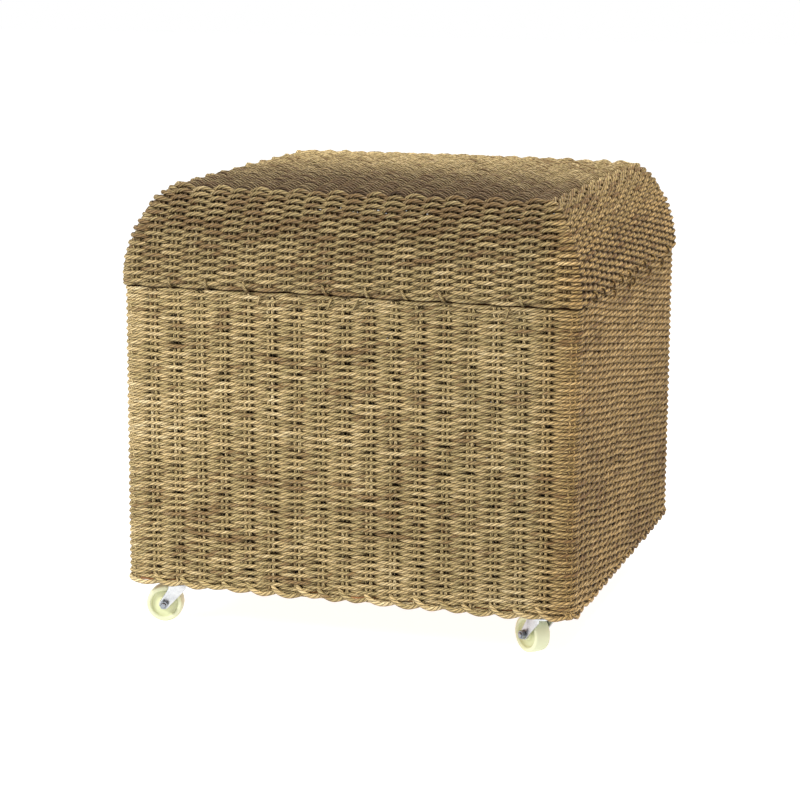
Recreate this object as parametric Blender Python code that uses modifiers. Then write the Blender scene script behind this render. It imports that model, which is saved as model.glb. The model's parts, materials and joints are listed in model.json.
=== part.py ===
"""Woven seagrass storage ottoman: a timber-framed cube with a domed, hinged lid, on four casters.

Run with: blender --background --python part.py
Metres, +Z up. The origin is on the floor under the middle of the cube, and -Y is the front.
"""

from math import asin, cos, pi, radians, sin

import bmesh
import bpy
from mathutils import Matrix, Vector

# ---------------------------------------------------------------- driving dimensions
GAP = 0.0003  # between pieces that touch

# woven shells
BODY_HALF = 0.2335  # half the outer width of the woven cube
WEAVE = 0.009  # thickness of a woven wall
CORNER_RADIUS = 0.011  # outer rounding of the upright corners
WEAVE_BOTTOM = 0.0475  # underside of the weave above the floor
SEAM = 0.3510  # top of the body, where the lid begins
SEAM_GAP = 0.0033  # height of the gap in which the hinge leaves lie

# lid outline: upright rim, then a superelliptic shoulder up to a nearly flat, crowned top
TOP_HALF = 0.1925  # half width of the top, where the shoulder ends
SHOULDER_IN = 0.043  # how far the shoulder leans in
SHOULDER_FOOT = 0.3655  # height where the shoulder starts
SHOULDER_RISE = 0.0870
SHOULDER_POWER = 1.6
SHOULDER_STEPS = 9
CROWN = 0.006  # rise of the top towards its middle
FLAT_HALF = 0.100  # half width of the flat middle of the top
TOP_CORNER_RADIUS = 0.011

# timber frame
POST = 0.022  # square corner posts
RAIL_DEEP = 0.018  # thickness of a rail
RAIL_HIGH = 0.030
LID_RAIL_HIGH = 0.022
LID_FRAME_HALF = 0.2242  # outer face of the lid's rails
BASE_THICK = 0.012
BASE_BOTTOM = 0.0490
DECK_HALF = 0.1815
DECK_THICK = 0.009
DECK_BOTTOM = 0.4337
RIB_RADIUS = 0.005
RIB_FOOT = 0.2130  # distance of a rib's foot from the middle planes
RIB_HEAD = 0.1735  # the same for its head, under the deck
RIB_STRAIGHT = 0.004  # unbent length at both ends
EDGE = 0.001  # small chamfer on timber

# butt hinges
HINGE_X = 0.130
HINGE_LONG = 0.050
LEAF_THICK = 0.0012
LEAF_INNER_Y = 0.2105
KNUCKLES = 5
KNUCKLE_GAP = 0.0004
BARREL_RADIUS = 0.0025
BORE_RADIUS = 0.00145
PIN_RADIUS = 0.00125
PIN_HEAD = 0.0021
HINGE_Y = 0.2387

# slotted lid stay on the right-hand side
STAY_RADIUS = 0.100  # from the hinge line to both of its pivots
STAY_ANGLE = radians(11)  # of either pivot above or below the hinge line, lid shut
LID_OPEN = radians(100)
STAY_WIDE = 0.012
STAY_THICK = 0.002
STAY_X = 0.2020  # middle of the arm's thickness
STAY_PIN_RADIUS = 0.0024
STAY_PLAY = 0.0003

# casters
STEM_X = 0.192
STEM_Y = 0.194
TRAIL = 0.0145  # axle behind the swivel line
WHEEL_RADIUS = 0.019
WHEEL_WIDE = 0.017
WHEEL_BORE = 0.0028
AXLE_RADIUS = 0.0025
FORK_INSIDE = 0.0092  # from the wheel's middle to the inside of a leg
FORK_THICK = 0.0018
PLATE_HALF = 0.019
PLATE_THICK = 0.0025
RACE_RADIUS = 0.013
RACE_BOTTOM = 0.0407
FORK_TOP = 0.0403
KINGPIN_RADIUS = 0.003
KINGPIN_DROP = 0.0024  # from the fork's top to the kingpin's head
# how far each fork is turned about its upright line, at rest
SWIVELS = {
    "front_left": radians(193.5),
    "front_right": radians(141.0),
    "rear_left": radians(70.0),
    "rear_right": radians(172.0),
}

# ---------------------------------------------------------------- worked out from those
LID_BOTTOM = SEAM + SEAM_GAP
HINGE_Z = SEAM + SEAM_GAP / 2
FRAME_HALF = BODY_HALF - WEAVE - GAP  # outer face of the body's frame
FRAME_BOTTOM = BASE_BOTTOM + BASE_THICK + GAP
CORNERS = {
    "front_left": (-1, -1),
    "front_right": (1, -1),
    "rear_left": (-1, 1),
    "rear_right": (1, 1),
}
STAY_PIVOT_Y = HINGE_Y - STAY_RADIUS * cos(STAY_ANGLE)
STAY_LOW_Z = HINGE_Z - STAY_RADIUS * sin(STAY_ANGLE)
STAY_HIGH_Z = HINGE_Z + STAY_RADIUS * sin(STAY_ANGLE)
SLOT_START = 2 * STAY_RADIUS * sin(STAY_ANGLE)
SLOT_END = 2 * STAY_RADIUS * sin(STAY_ANGLE + LID_OPEN / 2)


# ---------------------------------------------------------------- scene and materials
def clear_scene():
    for thing in list(bpy.data.objects):
        bpy.data.objects.remove(thing, do_unlink=True)


def collection(name):
    made = bpy.data.collections.new(name)
    bpy.context.scene.collection.children.link(made)
    return made


def material(name, colour, roughness, metallic=0.0):
    made = bpy.data.materials.new(name)
    made.use_nodes = True
    shader = made.node_tree.nodes["Principled BSDF"]
    shader.inputs["Base Color"].default_value = (*colour, 1.0)
    shader.inputs["Roughness"].default_value = roughness
    shader.inputs["Metallic"].default_value = metallic
    return made


clear_scene()
OTTOMAN = collection("storage_ottoman")
CUTTERS = collection("cutters")
SEAGRASS = material("seagrass", (0.46, 0.33, 0.17), 0.75)
TIMBER = material("timber", (0.50, 0.27, 0.12), 0.55)
PLYWOOD = material("plywood", (0.62, 0.44, 0.25), 0.60)
ZINC = material("zinc_steel", (0.72, 0.73, 0.74), 0.30, 1.0)
NYLON = material("cream_nylon", (0.83, 0.82, 0.58), 0.45)


# ---------------------------------------------------------------- modelling helpers
def place(name, mesh, finish, into=OTTOMAN, origin=(0, 0, 0)):
    """Links a mesh drawn in world coordinates as an object whose own origin is at a given point."""
    thing = bpy.data.objects.new(name, mesh)
    mesh.transform(Matrix.Translation(-Vector(origin)))
    thing.location = origin
    mesh.materials.clear()
    mesh.materials.append(finish)
    into.objects.link(thing)
    return thing


def from_bmesh(name, shape):
    mesh = bpy.data.meshes.new(name)
    shape.to_mesh(mesh)
    shape.free()
    return mesh


def evaluated_mesh(thing):
    """The mesh of an object with its modifiers applied; the object itself is then removed."""
    bpy.context.view_layer.update()
    graph = bpy.context.evaluated_depsgraph_get()
    mesh = bpy.data.meshes.new_from_object(thing.evaluated_get(graph), depsgraph=graph)
    mesh.transform(thing.matrix_world)
    bpy.data.objects.remove(thing, do_unlink=True)
    return mesh


def block(name, low, high, finish, origin=(0, 0, 0), edge=0.0):
    """A rectangular piece between two corners, with chamfered edges if edge is given."""
    low, high = Vector(low), Vector(high)
    shape = bmesh.new()
    size = Matrix.Diagonal((*(high - low), 1.0))
    bmesh.ops.create_cube(shape, size=1.0, matrix=Matrix.Translation((low + high) / 2) @ size)
    thing = place(name, from_bmesh(name, shape), finish, origin=origin)
    if edge:
        chamfer = thing.modifiers.new("edges", "BEVEL")
        chamfer.width = edge
        chamfer.segments = 1
    return thing


def arc(centre, radius, start, end, steps):
    return [
        (
            centre[0] + radius * cos(start + (end - start) * i / steps),
            centre[1] + radius * sin(start + (end - start) * i / steps),
        )
        for i in range(steps + 1)
    ]


def circle(centre, radius, steps=24):
    return arc(centre, radius, 0, 2 * pi * (steps - 1) / steps, steps - 1)


def rounded_square(half, radius, steps=4):
    """Outline of a square with round corners, anticlockwise from the right-hand front corner."""
    inner = half - radius
    outline = []
    for quarter, (x, y) in enumerate(((1, -1), (1, 1), (-1, 1), (-1, -1))):
        start = (quarter - 1) * pi / 2
        outline += arc((x * inner, y * inner), radius, start, start + pi / 2, steps)
    return outline


def extruded(name, outlines, thick, matrix=None):
    """A flat outline, with any holes after it, given a thickness and laid out by a matrix."""
    flat = bpy.data.curves.new(name, "CURVE")
    flat.dimensions = "2D"
    flat.fill_mode = "BOTH"
    flat.extrude = thick / 2
    for outline in outlines:
        spline = flat.splines.new("POLY")
        spline.points.add(len(outline) - 1)
        spline.use_cyclic_u = True
        for point, (x, y) in zip(spline.points, outline):
            point.co = (x, y, 0, 1)
    thing = bpy.data.objects.new(name, flat)
    CUTTERS.objects.link(thing)
    mesh = evaluated_mesh(thing)
    shape = bmesh.new()
    shape.from_mesh(mesh)
    bmesh.ops.remove_doubles(shape, verts=shape.verts, dist=1e-6)
    bmesh.ops.recalc_face_normals(shape, faces=shape.faces)
    shape.to_mesh(mesh)
    shape.free()
    mesh.transform(matrix or Matrix())
    return mesh


def turned(name, profile, steps=32):
    """A profile of (radius, height) points, outer side from top to bottom, spun about Z."""
    shape = bmesh.new()
    points = [shape.verts.new((radius, 0, height)) for radius, height in profile]
    closed = profile[0][0] > 1e-6
    for a, b in zip(points, points[1:] + points[:1] if closed else points[1:]):
        shape.edges.new((a, b))
    thing = bpy.data.objects.new(name, from_bmesh(name, shape))
    CUTTERS.objects.link(thing)
    spin = thing.modifiers.new("spin", "SCREW")
    spin.steps = spin.render_steps = steps
    spin.use_merge_vertices = True
    spin.merge_threshold = 1e-6
    mesh = evaluated_mesh(thing)
    shape = bmesh.new()
    shape.from_mesh(mesh)
    bmesh.ops.remove_doubles(shape, verts=shape.verts, dist=1e-6)
    bmesh.ops.recalc_face_normals(shape, faces=shape.faces)
    shape.to_mesh(mesh)
    shape.free()
    mesh.shade_smooth()
    mesh.set_sharp_from_angle(angle=radians(35))
    return mesh


def rod(name, points, radius, finish, sides=2):
    """A bent round rod along a list of points, with flat ends."""
    line = bpy.data.curves.new(name, "CURVE")
    line.dimensions = "3D"
    line.bevel_depth = radius
    line.bevel_resolution = sides
    line.use_fill_caps = True
    spline = line.splines.new("POLY")
    spline.points.add(len(points) - 1)
    for point, where in zip(spline.points, points):
        point.co = (*where, 1)
    line.materials.append(finish)
    thing = bpy.data.objects.new(name, line)
    OTTOMAN.objects.link(thing)
    return thing


def combine(thing, mesh, operation):
    """Adds a Boolean modifier whose other half is a hidden object made from mesh."""
    other = place(thing.name + "_tool", mesh, thing.data.materials[0], into=CUTTERS)
    other.hide_render = True
    other.display_type = "WIRE"
    cut = thing.modifiers.new(operation.lower(), "BOOLEAN")
    cut.operation = operation
    cut.object = other


def shell(name, rings, closed_top, finish, origin=(0, 0, 0)):
    """A woven wall: rings of points bridged in order, then thickened towards the inside."""
    shape = bmesh.new()
    rows = [[shape.verts.new(point) for point in ring] for ring in rings]
    count = len(rows[0])
    for low, high in zip(rows, rows[1:]):
        for i in range(count):
            j = (i + 1) % count
            shape.faces.new((low[i], low[j], high[j], high[i]))
    if closed_top:
        shape.faces.new(rows[-1])
    thing = place(name, from_bmesh(name, shape), finish, origin=origin)
    wall = thing.modifiers.new("wall", "SOLIDIFY")
    wall.thickness = WEAVE
    wall.offset = -1
    wall.use_even_offset = True
    return thing


def ring_at(half, radius, height):
    return [(x, y, height) for x, y in rounded_square(half, radius)]


# ---------------------------------------------------------------- woven shells
def woven_body():
    rings = [
        ring_at(BODY_HALF, CORNER_RADIUS, WEAVE_BOTTOM),
        ring_at(BODY_HALF, CORNER_RADIUS, SEAM),
    ]
    shell("body_weave", rings, False, SEAGRASS)


def woven_lid():
    rim = TOP_HALF + SHOULDER_IN
    rings = [ring_at(rim, CORNER_RADIUS, LID_BOTTOM)]
    for step in range(SHOULDER_STEPS + 1):
        turn = pi / 2 * step / SHOULDER_STEPS
        lean = max(cos(turn), 0.0) ** (2 / SHOULDER_POWER)
        rise = sin(turn) ** (2 / SHOULDER_POWER)
        share = step / SHOULDER_STEPS
        radius = CORNER_RADIUS + (TOP_CORNER_RADIUS - CORNER_RADIUS) * share
        height = SHOULDER_FOOT + SHOULDER_RISE * rise
        rings.append(ring_at(TOP_HALF + SHOULDER_IN * lean, radius, height))
    for half in ((TOP_HALF + FLAT_HALF) / 2, FLAT_HALF):
        rise = CROWN * (1 - (half / TOP_HALF) ** 2)
        rings.append(ring_at(half, TOP_CORNER_RADIUS, SHOULDER_FOOT + SHOULDER_RISE + rise))
    shell("lid_weave", rings, True, SEAGRASS, origin=(0, HINGE_Y, HINGE_Z))


# ---------------------------------------------------------------- timber frame
def corner_post(name, sx, sy):
    """A square post whose outer edge is rounded to lie inside the woven corner."""
    outer = FRAME_HALF
    inner = FRAME_HALF - POST
    radius = CORNER_RADIUS - WEAVE
    outline = [(inner, inner), (outer, inner)]
    outline += arc((outer - radius, outer - radius), radius, 0, pi / 2, 4)
    outline += [(inner, outer)]
    outline = [(x * sx, y * sy) for x, y in outline]
    middle = (FRAME_BOTTOM + SEAM) / 2
    mesh = extruded(name, [outline], SEAM - FRAME_BOTTOM, Matrix.Translation((0, 0, middle)))
    place(name, mesh, TIMBER)


def frame_rails(level, bottom, top):
    """Four rails between the posts, at one height."""
    outer = FRAME_HALF
    inner = FRAME_HALF - RAIL_DEEP
    reach = FRAME_HALF - POST - GAP
    for side, sign in (("front", -1), ("rear", 1)):
        y = sorted((sign * inner, sign * outer))
        low, high = (-reach, y[0], bottom), (reach, y[1], top)
        block(f"{level}_rail_{side}", low, high, TIMBER, edge=EDGE)
    for side, sign in (("left", -1), ("right", 1)):
        x = sorted((sign * inner, sign * outer))
        low, high = (x[0], -reach, bottom), (x[1], reach, top)
        block(f"{level}_rail_{side}", low, high, TIMBER, edge=EDGE)


def body_frame():
    radius = CORNER_RADIUS - WEAVE
    middle = BASE_BOTTOM + BASE_THICK / 2
    outline = rounded_square(FRAME_HALF, radius)
    mesh = extruded("base_panel", [outline], BASE_THICK, Matrix.Translation((0, 0, middle)))
    place("base_panel", mesh, PLYWOOD)
    for corner, (sx, sy) in CORNERS.items():
        corner_post(f"corner_post_{corner}", sx, sy)
    frame_rails("bottom", FRAME_BOTTOM, FRAME_BOTTOM + RAIL_HIGH)
    frame_rails("top", SEAM - RAIL_HIGH, SEAM)


def lid_frame():
    hinge = (0, HINGE_Y, HINGE_Z)
    bottom, top = LID_BOTTOM, LID_BOTTOM + LID_RAIL_HIGH
    outer, inner = LID_FRAME_HALF, LID_FRAME_HALF - RAIL_DEEP
    side_reach = outer - (CORNER_RADIUS - WEAVE) / 2
    for side, sign in (("left", -1), ("right", 1)):
        x = sorted((sign * inner, sign * outer))
        low, high = (x[0], -side_reach, bottom), (x[1], side_reach, top)
        block(f"lid_rail_{side}", low, high, TIMBER, origin=hinge, edge=EDGE)
    for side, sign in (("front", -1), ("rear", 1)):
        y = sorted((sign * inner, sign * outer))
        low, high = (-inner + GAP, y[0], bottom), (inner - GAP, y[1], top)
        block(f"lid_rail_{side}", low, high, TIMBER, origin=hinge, edge=EDGE)
    low = (-DECK_HALF, -DECK_HALF, DECK_BOTTOM)
    high = (DECK_HALF, DECK_HALF, DECK_BOTTOM + DECK_THICK)
    block("lid_deck", low, high, PLYWOOD, origin=hinge, edge=EDGE)
    foot = top + GAP
    bend = foot + RIB_STRAIGHT
    head = DECK_BOTTOM - GAP - RIB_RADIUS
    for corner, (sx, sy) in CORNERS.items():
        points = [(sx * RIB_FOOT, sy * RIB_FOOT, foot)]
        for step in range(9):
            turn = pi / 2 * step / 8
            out = RIB_HEAD + RIB_STRAIGHT + (RIB_FOOT - RIB_HEAD - RIB_STRAIGHT) * cos(turn)
            points.append((sx * out, sy * out, bend + (head - bend) * sin(turn)))
        points.append((sx * RIB_HEAD, sy * RIB_HEAD, head))
        rod(f"lid_rib_{corner}", points, RIB_RADIUS, TIMBER)


# ---------------------------------------------------------------- butt hinges
def knuckle_outline(sign):
    """Tongue and barrel of a knuckle seen along the pin, for the leaf above (1) or below (-1) it."""
    near = SEAM_GAP / 2 - GAP - LEAF_THICK
    far = near + LEAF_THICK
    start = -pi + asin(far / BARREL_RADIUS)
    end = pi + asin(near / BARREL_RADIUS)
    root = LEAF_INNER_Y + 0.022 - HINGE_Y
    outline = [(root, -far)] + arc((0, 0), BARREL_RADIUS, start, end, 14) + [(root, -near)]
    return [(y, -sign * z) for y, z in outline]


def hinge_leaf(name, x, sign, origin):
    """One leaf, with every other knuckle: sign is -1 for the body's leaf and 1 for the lid's."""
    edge = x - HINGE_LONG / 2
    pitch = HINGE_LONG / KNUCKLES
    face = HINGE_Z + sign * (SEAM_GAP / 2 - GAP)
    heights = sorted((face, face - sign * LEAF_THICK))
    clear = HINGE_Y - BARREL_RADIUS - KNUCKLE_GAP
    low, high = (edge, LEAF_INNER_Y, heights[0]), (edge + HINGE_LONG, clear, heights[1])
    leaf = block(name, low, high, ZINC, origin=origin)
    first = 0 if sign < 0 else 1
    for i in range(first, KNUCKLES, 2):
        middle = edge + (i + 0.5) * pitch
        across = Matrix(((0, 0, 1, middle), (1, 0, 0, HINGE_Y), (0, 1, 0, HINGE_Z), (0, 0, 0, 1)))
        outlines = [knuckle_outline(sign), circle((0, 0), BORE_RADIUS, 14)]
        mesh = extruded(name + "_knuckle", outlines, pitch - KNUCKLE_GAP, across)
        combine(leaf, mesh, "UNION")


def hinge_pin(name, x):
    half = HINGE_LONG / 2 + GAP
    cap = half + 0.0012
    profile = [(0, cap), (PIN_HEAD * 0.6, cap), (PIN_HEAD, half + 0.0006), (PIN_HEAD, half)]
    profile += [(PIN_RADIUS, half), (PIN_RADIUS, -half), (PIN_HEAD, -half)]
    profile += [(PIN_HEAD, -half - 0.0006), (PIN_HEAD * 0.6, -cap), (0, -cap)]
    mesh = turned(name, profile, 16)
    mesh.transform(Matrix.Translation((x, HINGE_Y, HINGE_Z)) @ Matrix.Rotation(pi / 2, 4, "Y"))
    place(name, mesh, ZINC, origin=(x, HINGE_Y, HINGE_Z))


def hinges():
    for side, x in (("left", -HINGE_X), ("right", HINGE_X)):
        axis = (x, HINGE_Y, HINGE_Z)
        hinge_leaf(f"hinge_{side}_body_leaf", x, -1, axis)
        hinge_leaf(f"hinge_{side}_lid_leaf", x, 1, axis)
        hinge_pin(f"hinge_{side}_pin", x)


# ---------------------------------------------------------------- lid stay
def shoulder_screw(name, rail_face, y, z):
    """A pivot screw standing out of a rail towards -X, with a spacer and a domed head."""
    spacer = rail_face - GAP - (STAY_X + STAY_THICK / 2 + GAP)
    neck = STAY_THICK + 2 * GAP
    head = 0.0024
    profile = [(0, spacer + neck + head), (0.0030, spacer + neck + head)]
    profile += [(0.0046, spacer + neck + head * 0.45), (0.0046, spacer + neck)]
    profile += [(STAY_PIN_RADIUS, spacer + neck), (STAY_PIN_RADIUS, spacer)]
    profile += [(0.0046, spacer), (0.0046, 0), (0, 0)]
    mesh = turned(name, profile, 20)
    stand = Matrix.Translation((rail_face - GAP, y, z)) @ Matrix.Rotation(-pi / 2, 4, "Y")
    mesh.transform(stand)
    place(name, mesh, ZINC, origin=(STAY_X, y, z))


def lid_stay():
    """The arm hangs from the lid; its slot slides over the screw on the body as the lid opens."""
    wide = STAY_WIDE / 2
    slot = STAY_PIN_RADIUS + STAY_PLAY
    tail = -SLOT_END - wide
    outline = arc((0, 0), wide, 0, pi, 10) + arc((0, tail + wide), wide, pi, 2 * pi, 10)
    opening = arc((0, -SLOT_START), slot, 0, pi, 10) + arc((0, -SLOT_END), slot, pi, 2 * pi, 10)
    pivot = circle((0, 0), slot)
    where = (STAY_X, STAY_PIVOT_Y, STAY_HIGH_Z)
    across = Matrix(((0, 0, 1, where[0]), (1, 0, 0, where[1]), (0, 1, 0, where[2]), (0, 0, 0, 1)))
    mesh = extruded("stay_arm", [outline, opening, pivot], STAY_THICK, across)
    place("stay_arm", mesh, ZINC, origin=where)
    shoulder_screw("stay_screw_body", FRAME_HALF - RAIL_DEEP, STAY_PIVOT_Y, STAY_LOW_Z)
    shoulder_screw("stay_screw_lid", LID_FRAME_HALF - RAIL_DEEP, STAY_PIVOT_Y, STAY_HIGH_Z)


# ---------------------------------------------------------------- casters
def caster_plate_mesh():
    """Square top plate with the ball race pressed out of it, drawn about the swivel line."""
    top = BASE_BOTTOM - GAP
    plate = extruded(
        "caster_plate",
        [rounded_square(PLATE_HALF, 0.004, 3), circle((0, 0), KINGPIN_RADIUS + GAP, 16)],
        PLATE_THICK,
        Matrix.Translation((0, 0, top - PLATE_THICK / 2)),
    )
    thing = place("caster_plate", plate, ZINC, into=CUTTERS)
    lip = top - PLATE_THICK / 2
    bore = KINGPIN_RADIUS + GAP
    profile = [(RACE_RADIUS, lip), (RACE_RADIUS, RACE_BOTTOM + 0.0025)]
    profile += [(RACE_RADIUS - 0.0025, RACE_BOTTOM), (bore + 0.0004, RACE_BOTTOM)]
    profile += [(bore + 0.0004, lip)]
    combine(thing, turned("caster_race", profile, 24), "UNION")
    return evaluated_mesh(thing)


def fork_mesh():
    """Pressed fork: a round top with two raked legs, drawn with the wheel towards +X."""
    boss = 0.0052
    axle = (TRAIL, WHEEL_RADIUS)
    leg = [(-0.0080, FORK_TOP - 0.0004), (-0.0080, FORK_TOP - 0.0050)]
    leg += arc(axle, boss, radians(215), radians(390), 12)
    leg += [(0.0100, FORK_TOP - 0.0050), (0.0095, FORK_TOP - 0.0004)]
    hole = circle(axle, AXLE_RADIUS + GAP, 14)
    disc = [circle((0, 0), 0.0140, 24), circle((0, 0), KINGPIN_RADIUS + GAP, 16)]
    thick = 0.0018
    top = extruded("fork", disc, thick, Matrix.Translation((0, 0, FORK_TOP - thick / 2)))
    thing = place("fork", top, ZINC, into=CUTTERS)
    for side in (-1, 1):
        y = side * (FORK_INSIDE + FORK_THICK / 2)
        across = Matrix(((1, 0, 0, 0), (0, 0, -1, y), (0, 1, 0, 0), (0, 0, 0, 1)))
        combine(thing, extruded("fork_leg", [leg, hole], FORK_THICK, across), "UNION")
    return evaluated_mesh(thing)


def wheel_mesh():
    """Barrel tread, recessed sides and a proud hub, turned about the axle."""
    half = WHEEL_WIDE / 2
    rim = WHEEL_RADIUS
    profile = [(0.0166, half), (0.0182, half - 0.0012), (rim, half - 0.0040), (rim, 0)]
    profile += [(radius, -height) for radius, height in reversed(profile[:3])]
    inside = [(0.0140, half - 0.0002), (0.0128, half - 0.0028), (0.0068, half - 0.0028)]
    inside += [(0.0060, half), (WHEEL_BORE, half)]
    profile = profile + [(radius, -height) for radius, height in inside] + inside[::-1]
    return turned("wheel", profile, 28)


def axle_meshes():
    """The bolt, drawn along Z with its head down, and its nut."""
    outside = FORK_INSIDE + FORK_THICK + GAP
    profile = [(0, outside + 0.0052), (0.0020, outside + 0.0052), (AXLE_RADIUS, outside + 0.0046)]
    profile += [(AXLE_RADIUS, -outside - 0.0010), (0, -outside - 0.0010)]
    bolt = place("axle_bolt", turned("axle_bolt", profile, 16), ZINC, into=CUTTERS)
    head = circle((0, 0), 0.0046, 6)
    lift = Matrix.Translation((0, 0, -outside - 0.0016))
    combine(bolt, extruded("bolt_head", [head], 0.0032, lift), "UNION")
    nut = [head, circle((0, 0), AXLE_RADIUS + GAP, 14)]
    lift = Matrix.Translation((0, 0, outside + 0.0018))
    return evaluated_mesh(bolt), extruded("axle_nut", nut, 0.0036, lift)


def kingpin_mesh():
    top, head = BASE_BOTTOM - 2 * GAP, FORK_TOP - KINGPIN_DROP
    rim, foot = head - 0.0007, head - 0.0014
    profile = [(0, top), (KINGPIN_RADIUS, top), (KINGPIN_RADIUS, head), (0.0050, head)]
    profile += [(0.0050, rim), (0.0036, foot), (0, foot)]
    return turned("kingpin", profile, 16)


def child(name, mesh, finish, parent, matrix=None):
    """A caster piece that shares its mesh with its three fellows and follows its empty."""
    if not mesh.materials:
        mesh.materials.append(finish)
    thing = bpy.data.objects.new(name, mesh)
    OTTOMAN.objects.link(thing)
    thing.parent = parent
    thing.matrix_local = matrix or Matrix()
    return thing


def casters():
    plate, fork, wheel = caster_plate_mesh(), fork_mesh(), wheel_mesh()
    bolt, nut = axle_meshes()
    kingpin = kingpin_mesh()
    for mesh, finish in ((plate, ZINC), (fork, ZINC), (wheel, NYLON), (bolt, ZINC)):
        mesh.materials.clear()
        mesh.materials.append(finish)
    along_axle = Matrix.Translation((TRAIL, 0, WHEEL_RADIUS)) @ Matrix.Rotation(-pi / 2, 4, "X")
    for corner, (sx, sy) in CORNERS.items():
        stem = Vector((sx * STEM_X, sy * STEM_Y, 0))
        fixed = bpy.data.objects.new(f"caster_{corner}", None)
        swivel = bpy.data.objects.new(f"swivel_{corner}", None)
        for empty in (fixed, swivel):
            OTTOMAN.objects.link(empty)
            empty.location = stem
        swivel.rotation_euler = (0, 0, SWIVELS[corner])
        child(f"caster_plate_{corner}", plate, ZINC, fixed)
        child(f"kingpin_{corner}", kingpin, ZINC, fixed)
        child(f"fork_{corner}", fork, ZINC, swivel)
        child(f"wheel_{corner}", wheel, NYLON, swivel, along_axle)
        child(f"axle_bolt_{corner}", bolt, ZINC, swivel, along_axle)
        child(f"axle_nut_{corner}", nut, ZINC, swivel, along_axle)


woven_body()
woven_lid()
body_frame()
lid_frame()
hinges()
lid_stay()
casters()
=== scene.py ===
# %% [markdown]
# # A storage ottoman woven in seagrass
#
# The real thing is a timber box on four casters, with a domed lid on hinges, woven all over in
# twisted seagrass rope. The frame that is loaded here already has every hard part in its place.
# This lesson makes what the eye goes to: some three hundred metres of rope, and the finish of
# the timber, the zinc and the cream wheels.

# %% Load the frame
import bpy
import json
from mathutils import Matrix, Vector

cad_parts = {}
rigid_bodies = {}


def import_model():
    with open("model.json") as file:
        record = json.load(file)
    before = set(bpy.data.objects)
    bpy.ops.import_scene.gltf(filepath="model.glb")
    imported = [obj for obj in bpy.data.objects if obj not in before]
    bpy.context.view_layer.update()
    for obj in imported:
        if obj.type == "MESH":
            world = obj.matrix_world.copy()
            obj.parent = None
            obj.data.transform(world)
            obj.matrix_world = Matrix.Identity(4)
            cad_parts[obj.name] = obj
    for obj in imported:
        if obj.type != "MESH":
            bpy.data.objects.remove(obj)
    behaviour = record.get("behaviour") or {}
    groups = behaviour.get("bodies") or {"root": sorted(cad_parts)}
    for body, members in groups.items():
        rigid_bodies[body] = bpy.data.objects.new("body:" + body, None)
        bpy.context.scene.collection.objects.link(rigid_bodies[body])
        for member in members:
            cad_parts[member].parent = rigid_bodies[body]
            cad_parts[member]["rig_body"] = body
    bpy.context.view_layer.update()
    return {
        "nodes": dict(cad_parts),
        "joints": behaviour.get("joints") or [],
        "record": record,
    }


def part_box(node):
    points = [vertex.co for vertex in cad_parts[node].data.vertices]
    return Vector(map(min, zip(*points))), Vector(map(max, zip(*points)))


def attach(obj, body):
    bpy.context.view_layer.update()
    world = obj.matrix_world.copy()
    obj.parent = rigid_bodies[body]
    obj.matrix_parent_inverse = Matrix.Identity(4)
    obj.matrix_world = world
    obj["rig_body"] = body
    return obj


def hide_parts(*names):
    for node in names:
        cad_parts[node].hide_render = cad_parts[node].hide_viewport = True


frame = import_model()

# %% Tools and a fixed seed
import json
from itertools import product
from math import cos, pi, radians, sin

import bmesh
import bpy
import numpy as np
from mathutils import Matrix, Vector

SEED = 7
nodes_at = frame["nodes"]


def in_scene(name, data):
    """A new object, linked into the scene."""
    thing = bpy.data.objects.new(name, data)
    bpy.context.scene.collection.objects.link(thing)
    return thing


def new_finish(name):
    """A new material, with its tree and its shader."""
    made = bpy.data.materials.new(name)
    made.use_nodes = True
    return made, made.node_tree, made.node_tree.nodes["Principled BSDF"]


def with_modifiers(piece):
    """A plain mesh of a piece as its modifiers leave it."""
    graph = bpy.context.evaluated_depsgraph_get()
    return bpy.data.meshes.new_from_object(piece.evaluated_get(graph), depsgraph=graph)


# %% [markdown]
# ## Where things are
#
# The walls' outer faces, the seam and the foot come from the frame, so that the rope lies where the
# plain woven walls are. The walls are 9 mm thick: a rope passes in front of one stake and behind
# the next, so the wall is two ropes and a stake thick, and its middle is half a wall inside the
# outer face.

# %% Measures
body_low, body_high = (Vector(corner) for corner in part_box("body_weave"))
lid_low, lid_high = (Vector(corner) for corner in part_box("lid_weave"))
WALL = 0.009
HALF_WALL = WALL / 2
BODY_HALF = body_high.x - HALF_WALL
LID_HALF = lid_high.x
SEAM_LOW, SEAM_HIGH = body_high.z, lid_low.z
BODY_FOOT = body_low.z
CORNER_RADIUS = 0.011
SHOULDER_IN = 0.043
TOP_HALF = LID_HALF - SHOULDER_IN
SHOULDER_FOOT = 0.3655
SHOULDER_RISE = 0.0850  # the middle of the top rises above this by the crown
SHOULDER_POWER = 1.6
CROWN = 0.0080
CROWN_POWER = 2.4
print("body half width", round(BODY_HALF, 4), "seam", round(SEAM_LOW, 4), round(SEAM_HIGH, 4))

# %% [markdown]
# ## Camera, light and floor
#
# A long lens a little to the right of the front and a little above it keeps the upright edges
# nearly parallel. The light is a bright, plain studio: a white surround, a large soft panel at
# the front left, one above and behind, which picks out the tops of the ropes, and a smaller,
# warmer one high over the right-hand side. The floor is white paper lit from below, so it stays
# white, with a faint shade under the box.

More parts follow.
